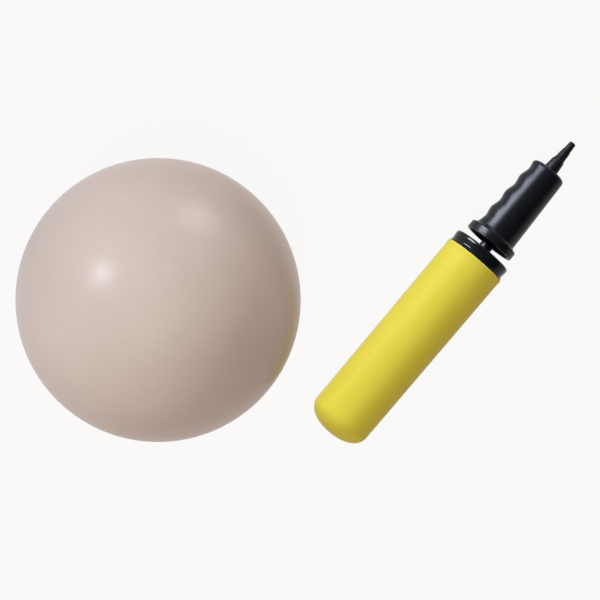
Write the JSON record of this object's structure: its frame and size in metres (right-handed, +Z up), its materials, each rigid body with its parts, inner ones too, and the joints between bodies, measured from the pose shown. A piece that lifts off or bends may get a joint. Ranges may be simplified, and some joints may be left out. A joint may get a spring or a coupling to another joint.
{
  "type": "exercise ball with hand pump",
  "caption": "Small inflatable exercise ball with a plugged valve, and a hand pump lying beside it: domed barrel, ridged grip, and a ringed nozzle in the end of the handle.",
  "frame": {"origin": "middle of the flat patch that the ball rests on", "axes": "+Z up; +X towards the pump's side, along the longest extent; the pump's axis lies 49.85 degrees from +X towards +Y"},
  "size_m": [0.4686, 0.2624, 0.229],
  "materials": {
    "ball_vinyl": "satin vinyl",
    "plug_nylon": "smooth",
    "barrel_yellow": "satin moulded",
    "pump_black": "satin moulded",
    "inner_plastic": "natural moulded",
    "seal_rubber": "matt",
    "spring_steel": "drawn wire"
  },
  "bodies": {
    "set": {"ball_skin": "ball_vinyl", "valve_grommet": "ball_vinyl", "barrel": "barrel_yellow", "barrel_cap": "pump_black"},
    "guide": {"guide_bush": "pump_black"},
    "plunger": {"piston_rod": "pump_black", "piston": "inner_plastic", "buffer_ring": "seal_rubber", "outlet_spring": "spring_steel", "handle_grip": "pump_black", "nozzle_seal": "seal_rubber", "nozzle": "pump_black"},
    "ring": {"piston_ring": "seal_rubber"},
    "outlet": {"outlet_disc": "seal_rubber"},
    "plug": {"valve_plug": "plug_nylon"}
  },
  "joints": [
    {"name": "plunger_turn", "type": "hinge", "parent": "set", "child": "guide", "pos_m": [0.26632, 0.03486, 0.02902], "axis": [0.6448, 0.7643, 0.0063], "continuous": true},
    {"name": "plunger_slide", "type": "slide", "parent": "guide", "child": "plunger", "axis": [0.6448, 0.7643, 0.0063], "range_m": [-0.0073, 0.123]},
    {"name": "ring_float", "type": "slide", "parent": "plunger", "child": "ring", "axis": [0.6448, 0.7643, 0.0063], "range_m": [0, 0.0009]},
    {"name": "outlet_lift", "type": "slide", "parent": "plunger", "child": "outlet", "axis": [0.6448, 0.7643, 0.0063], "range_m": [0, 0.0025], "stiffness_N_per_m": 60, "springref_m": -0.001, "deforming": ["outlet_spring"]},
    {"name": "plug_pull", "type": "slide", "parent": "set", "child": "plug", "axis": [-0.6556, 0.6556, -0.3746], "range_m": [0, 0.024]}
  ]
}
